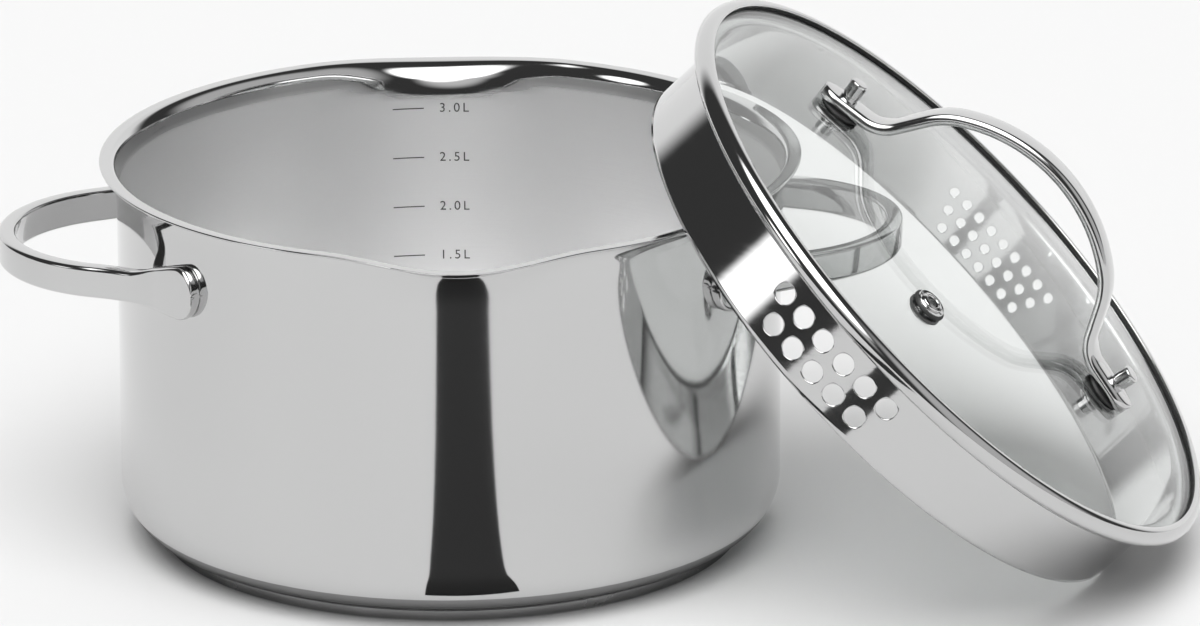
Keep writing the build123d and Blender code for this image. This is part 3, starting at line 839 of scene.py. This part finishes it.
VENT_REACH = 65.0
vent_axes, vent_origin = tilted(
    LID_AXES[1], math.asin(VENT_REACH / SPHERE), VENT_REACH, float(dome(VENT_REACH))
)
half = THICK / 2
eyelet_half = joined(
    (2.0, 0), (2.0, half + 1.6), arc((2.5, half + 1.9), 0.5, 180, 45, 6),
    arc((3.0, half + 1.7), 0.55, 45, 0, 4), (3.6, half + 1.55),
    arc((4.3, half + 1.2), 0.6, 60, 0, 6), (4.9, half + 0.9),
)
eyelet_section = joined(
    eyelet_half, (3.3, half + 0.85), (3.3, 0), (3.3, -half - 0.85), eyelet_half[::-1] * (1, -1)
)
eyelet = turned("steam_vent", eyelet_section, vent_axes, vent_origin, 64)
finish_piece(eyelet, POLISHED, "lid", "polished_steel", "vent_eyelet")
print("eyelet points", len(eyelet_section))

# %% The vent's two gaskets
for side, name in ((1, "upper"), (-1, "lower")):
    ring = np.array([
        (3.35, half + 0.02), (3.35, half + 0.9), (5.3, half + 0.9), (5.6, half + 0.6),
        (5.6, half + 0.15),
    ]) * (1, side)
    gasket = turned(f"{name}_vent_ring", ring, vent_axes, vent_origin, 64, closed=True)
    finish_piece(gasket, SILICONE, "lid", "silicone", f"vent_{name}_gasket")
print("vent at", VENT_REACH)

# %% [markdown]
# ## The lid's handle
# A strap arches over the lid. Seen from the side its middle line is a row of arcs that
# meet without a corner: a wide arch, a tighter hip, a straight leg, a knee that bends the
# other way, and a straight foot on the glass. Bending it from a flat mesh would stretch the
# rounded feet, so the section is carried along the line as on the pot's handles, and it
# narrows to a half circle at each end.

# %% The strap's middle line
ARCH, ARCH_TURN, HIP, LEG_TURN, KNEE, FOOT_TURN = 53.0, 36.0, 24.0, 62.0, 12.0, 10.0
GRIP_HEIGHT, BOLT_REACH, FOOT_HEIGHT, OVERHANG = 49.3, 58.5, 15.2, 8.5
STRAP_WIDE, STRAP_THICK, STRAP_CROWN = 11.0, 3.6, 0.25


def sloped(angle):
    """The direction that falls by an angle in degrees, and the square to it that points up."""
    a = math.radians(angle)
    return np.array([math.cos(a), -math.sin(a)]), np.array([math.sin(a), math.cos(a)])


def half_arch():
    """Points (along, height) of half the middle line, from the arch's top to the foot's end."""
    top = np.array([0, GRIP_HEIGHT])
    arch_part = arc(top - (0, ARCH), ARCH, 90, 90 - ARCH_TURN, 40)
    hip_centre = arch_part[-1] - HIP * sloped(ARCH_TURN)[1]
    hip_part = arc(hip_centre, HIP, 90 - ARCH_TURN, 90 - LEG_TURN, 24)
    foot_along, foot_up = sloped(FOOT_TURN)
    leg_along, leg_up = sloped(LEG_TURN)
    knee_shift = KNEE * (leg_up - foot_up)
    bolt = np.array([BOLT_REACH, FOOT_HEIGHT])
    ends = np.linalg.solve(np.stack([leg_along, foot_along], -1), bolt - hip_part[-1] - knee_shift)
    leg_end = hip_part[-1] + leg_along * ends[0]
    knee_part = arc(leg_end + KNEE * leg_up, KNEE, 270 - LEG_TURN, 270 - FOOT_TURN, 22)
    foot_end = bolt + foot_along * OVERHANG
    leg_part = between(hip_part[-1], leg_end, 8)
    foot_part = between(knee_part[-1], foot_end, 26)
    return joined(arch_part, hip_part[1:], leg_part[1:], knee_part[1:], foot_part[1:])


half_line = half_arch()
middle_line = joined(half_line[::-1] * (-1, 1), half_line[1:])
path, tangent, s = along_path(middle_line, 0.65)
print("strap length in mm", round(float(s[-1]), 1))

# %% Carry the section along it
up = np.stack([-tangent[:, 1], tangent[:, 0]], -1)
from_end = np.minimum(s, s[-1] - s)
narrow = np.clip(1 - from_end / (STRAP_WIDE / 2), 0, 1)
half_wide = STRAP_WIDE / 2 * np.sqrt(np.clip(1 - narrow**2, 0.002, 1))
flat, corner = rounded_section(48)
round_part = STRAP_THICK / 2 * 0.95
edge = np.minimum(round_part, half_wide)[:, None]
across = flat[:, 0] * (half_wide[:, None] - edge) + corner[:, 0] * edge
lift_up = flat[:, 1] * (STRAP_THICK / 2 - round_part) + corner[:, 1] * round_part
crown = STRAP_CROWN * (1 - (across / (STRAP_WIDE / 2)) ** 2) * np.sign(corner[:, 1])
strap = closed_ends(np.stack([
    path[:, :1] + up[:, :1] * (lift_up + crown),
    across,
    path[:, 1:] + up[:, 1:] * (lift_up + crown),
], -1))
grip = mesh_piece(
    "lid_grip", place(strap, LID_AXES, LID_ORIGIN), grid_faces(*strap.shape[:2], False, True)
)
finish_piece(grip, POLISHED, "lid", "lid_handle_steel", "lid_handle")
print("strap points", strap.shape)

# %% [markdown]
# ## Bolts
# Each foot is held by a screw from inside. On it sit, from the top: a cap nut, the foot, a
# soft seat, the glass, a gasket, a washer and the screw's head. All are turned pieces on
# the bolt's axis, which leans outwards with the foot.

# %% Their profiles, from the foot's middle height, outwards and up
NUT, NUT_TALL, WAIST = 2.9, 6.0, 0.25
strap_top, strap_low = STRAP_THICK / 2 + STRAP_CROWN, -STRAP_THICK / 2 - 0.1
glass_drop = FOOT_HEIGHT - float(dome(BOLT_REACH))
seat_low = -glass_drop + THICK / 2 - 0.25
inside = -glass_drop - THICK / 2
gasket_low = inside - 1.6
washer_low = gasket_low - 1.0
nut_top = strap_top + NUT_TALL
BOLT_PROFILES = (
    ("nut", "cap_nut", POLISHED, "bolt_steel", 64, joined(
        (0, strap_top - 0.4), (NUT, strap_top - 0.4), (NUT, strap_top + 0.5),
        (NUT - WAIST, strap_top + 0.7), (NUT - WAIST, strap_top + 1.1), (NUT, strap_top + 1.3),
        (NUT, nut_top - 0.7), arc((NUT - 0.6, nut_top - 0.6), 0.6, 0, 90, 6), (0, nut_top),
    )),
    ("seat", "outer_seat", SILICONE, "silicone", 64, joined(
        (0, strap_low), (6.1, strap_low), arc((6.1, strap_low - 0.5), 0.5, 90, 0, 5),
        (6.8, seat_low), (0, seat_low),
    )),
    ("gasket", "inner_gasket", SILICONE, "silicone", 64, joined(
        (0, inside + 0.3), (6.4, inside + 0.3), (6.4, gasket_low + 0.4), (6.0, gasket_low),
        (0, gasket_low),
    )),
    ("washer", "inner_washer", POLISHED, "bolt_steel", 64, joined(
        (0, gasket_low), (5.6, gasket_low), (5.8, gasket_low - 0.2), (5.8, washer_low + 0.2),
        (5.6, washer_low), (0, washer_low),
    )),
    ("screw_head", "screw", POLISHED, "bolt_steel", 48, joined(
        (0, washer_low), (4.0, washer_low), (4.0, washer_low - 1.2),
        arc((2.9, washer_low - 1.2), 1.1, 0, -90, 7)[1:], (1.5, washer_low - 2.3),
        (1.5, washer_low - 0.9), (0, washer_low - 0.9),
    )),
)
print("stack in mm, from", round(nut_top, 1), "to", round(washer_low - 2.3, 1))

# %% A stack at each foot
for sign, end in ((1, "upper"), (-1, "lower")):
    axes, origin = tilted(
        LID_AXES[0] * sign, math.radians(FOOT_TURN), BOLT_REACH, FOOT_HEIGHT
    )
    for name, node, material, slot, steps, profile in BOLT_PROFILES:
        piece = turned(f"{end}_{name}", profile, axes, origin, steps)
        finish_piece(piece, material, "lid", slot, f"{end}_{node}")
print("bolts at", BOLT_REACH)

# %% [markdown]
# ## Studio
# The pot's wall looks down at the table, so a pale table makes it pale, and a dark strip
# that lies on the table in front of it becomes a dark upright band, which tells the eye
# that the wall is a mirror. The strip is part of the studio. A grey ring on the table under
# the pot is a painted shadow: it stands for the shade round the pot's foot, which the lower
# corner reflects. The camera sees neither card.


# %% Floor, a dark strip and a painted shadow ring
def flat_material(name, colour, roughness):
    """A plain studio surface."""
    material, _, shader = new_material(name)
    shader.inputs["Base Color"].default_value = (*colour, 1)
    shader.inputs["Roughness"].default_value = roughness
    return material


def card(name, corners, material, seen=False):
    """A flat studio card with these corners, in metres. The camera sees it only if asked."""
    mesh = bpy.data.meshes.new(name)
    mesh.from_pydata([tuple(c) for c in corners], [], [tuple(range(len(corners)))])
    made = bpy.data.objects.new(name, mesh)
    made.data.materials.append(material)
    made.visible_camera = made.visible_diffuse = made.visible_transmission = made.visible_shadow = seen
    bpy.context.collection.objects.link(made)
    return made


WHITE = flat_material("studio_white", (0.67, 0.67, 0.67), 0.7)
BLACK = flat_material("studio_black", (0.004, 0.004, 0.004), 0.9)
# The colour of the painted shadow ring under the pot.
PAINTED_SHADOW_GREY = flat_material("painted_shadow_grey", (0.30, 0.30, 0.30), 0.9)
FLOOR, STRIP_LEVEL, SHADE_RADIUS, SHADE_LEVEL = 30.0, 0.001, 0.099, 0.0005
STRIP_OUTLINE = (
    (-0.012, -0.103), (0.021, -0.103), (0.031, -0.165),
    (0.105, -0.60), (-0.055, -0.60), (-0.019, -0.165),
)
t = np.linspace(0, 2 * math.pi, 72, endpoint=False)
FLOOR_CORNERS = ((-1, -1), (1, -1), (1, 1), (-1, 1))
card("floor", [(FLOOR * x, FLOOR * y, 0) for x, y in FLOOR_CORNERS], WHITE, True)
card("front_strip", [(x, y, STRIP_LEVEL) for x, y in STRIP_OUTLINE], BLACK)
# Painted shadow: a grey ring under the pot, seen only in reflections, stands for the contact shade round
# its foot.
card("shade_round_base", np.stack(
    [SHADE_RADIUS * np.cos(t), SHADE_RADIUS * np.sin(t), SHADE_LEVEL + 0 * t], -1
), PAINTED_SHADOW_GREY)
print("floor and two cards")

# %% [markdown]
# ## Soft lights all round
# Polished steel shows its surroundings, so they are lit as a product studio is: dim, with a
# few large soft lights. Area lights would do it, but each needs a place out of view. Here
# each light is a round glow in the world, given by its direction, its size and its level.


# %% Glows in the surroundings
def glow(tree, centre, full, gone, level):
    """A soft round light: full within one angle of its centre, and gone at another.

    The cosine of the angle is the dot product of the direction seen and the centre's.
    """
    azimuth, elevation = (math.radians(a) for a in centre)
    dot = tree.nodes.new("ShaderNodeVectorMath")
    dot.operation = "DOT_PRODUCT"
    dot.inputs[1].default_value = (
        math.cos(elevation) * math.cos(azimuth),
        math.cos(elevation) * math.sin(azimuth),
        math.sin(elevation),
    )
    tree.links.new(tree.nodes["Texture Coordinate"].outputs["Generated"], dot.inputs[0])
    ranger = tree.nodes.new("ShaderNodeMapRange")
    ranger.interpolation_type = "SMOOTHSTEP"
    ranger.inputs["From Min"].default_value = math.cos(math.radians(gone))
    ranger.inputs["From Max"].default_value = math.cos(math.radians(full))
    ranger.inputs["To Max"].default_value = level
    tree.links.new(dot.outputs["Value"], ranger.inputs["Value"])
    return ranger.outputs["Result"]


DIM = 0.05
GLOWS = (
    ((88, 8), 36, 50, 0.95),
    ((-95, 64), 22, 34, 4.2),
    ((-156, 15), 5, 11, 2.6),
    ((-20, 10), 26, 44, 0.55),
    ((-100, 40), 12, 26, 0.7),
)
print("glows", len(GLOWS))

# %% The world adds them up, and a wide sun fills in the shadows
world = bpy.data.worlds.new("studio")
world.use_nodes = True
tree = world.node_tree
tree.nodes.new("ShaderNodeTexCoord").name = "Texture Coordinate"
total = None
for centre, full, gone, level in GLOWS:
    light = glow(tree, centre, full, gone, level)
    adder = tree.nodes.new("ShaderNodeMath")
    tree.links.new(light, adder.inputs[0])
    adder.inputs[1].default_value = DIM
    if total is not None:
        tree.links.new(total, adder.inputs[1])
    total = adder.outputs["Value"]
tree.links.new(total, tree.nodes["Background"].inputs["Color"])
bpy.context.scene.world = world
sun_data = bpy.data.lights.new("sky", "SUN")
sun_data.energy, sun_data.angle = 0.9, math.radians(70)
sun = bpy.data.objects.new("sky", sun_data)
sun.visible_glossy = False
bpy.context.collection.objects.link(sun)
bpy.context.scene.view_settings.view_transform = "Standard"
print("studio ready")

# %% [markdown]
# ## Camera
# A pot looks most like itself through a long lens from the front, a little above the lip,
# which shows its outside, its inside and the lid. The camera's axes are turned one after
# the other, first aside, then up, then round the line of sight.

# %% Camera: a long lens from the front, looking down
ELEVATION, PAN, PITCH, ROLL = (math.radians(d) for d in (18.379, 0.868, 0.2155, -0.4324))
CAMERA_TURN = math.radians(-1.5)
LENS, DISTANCE, AIM_HEIGHT = 297.2, 3.024, 0.0554
right = np.array([1.0, 0, 0])
forward = np.array([0, math.cos(ELEVATION), -math.sin(ELEVATION)])
upward = np.cross(right, forward)
place_at = np.array([0, 0, AIM_HEIGHT]) - DISTANCE * forward
panned = math.cos(PAN) * right - math.sin(PAN) * forward
ahead = math.sin(PAN) * right + math.cos(PAN) * forward
pitched = math.cos(PITCH) * upward - math.sin(PITCH) * ahead
ahead = math.sin(PITCH) * upward + math.cos(PITCH) * ahead
rolled = math.cos(ROLL) * panned + math.sin(ROLL) * pitched
top_axis = -math.sin(ROLL) * panned + math.cos(ROLL) * pitched
view_axes = Matrix(np.stack([rolled, top_axis, -ahead], -1).tolist()).to_4x4()
camera_data = bpy.data.cameras.new("camera")
camera_data.lens = LENS
camera_data.clip_end = 100
camera = bpy.data.objects.new("camera", camera_data)
turn_part = Matrix.Rotation(CAMERA_TURN, 4, "Z")
camera.matrix_world = turn_part @ Matrix.Translation(place_at.tolist()) @ view_axes
bpy.context.collection.objects.link(camera)
bpy.context.scene.camera = camera
print("camera at", [round(v, 3) for v in camera.matrix_world.translation])
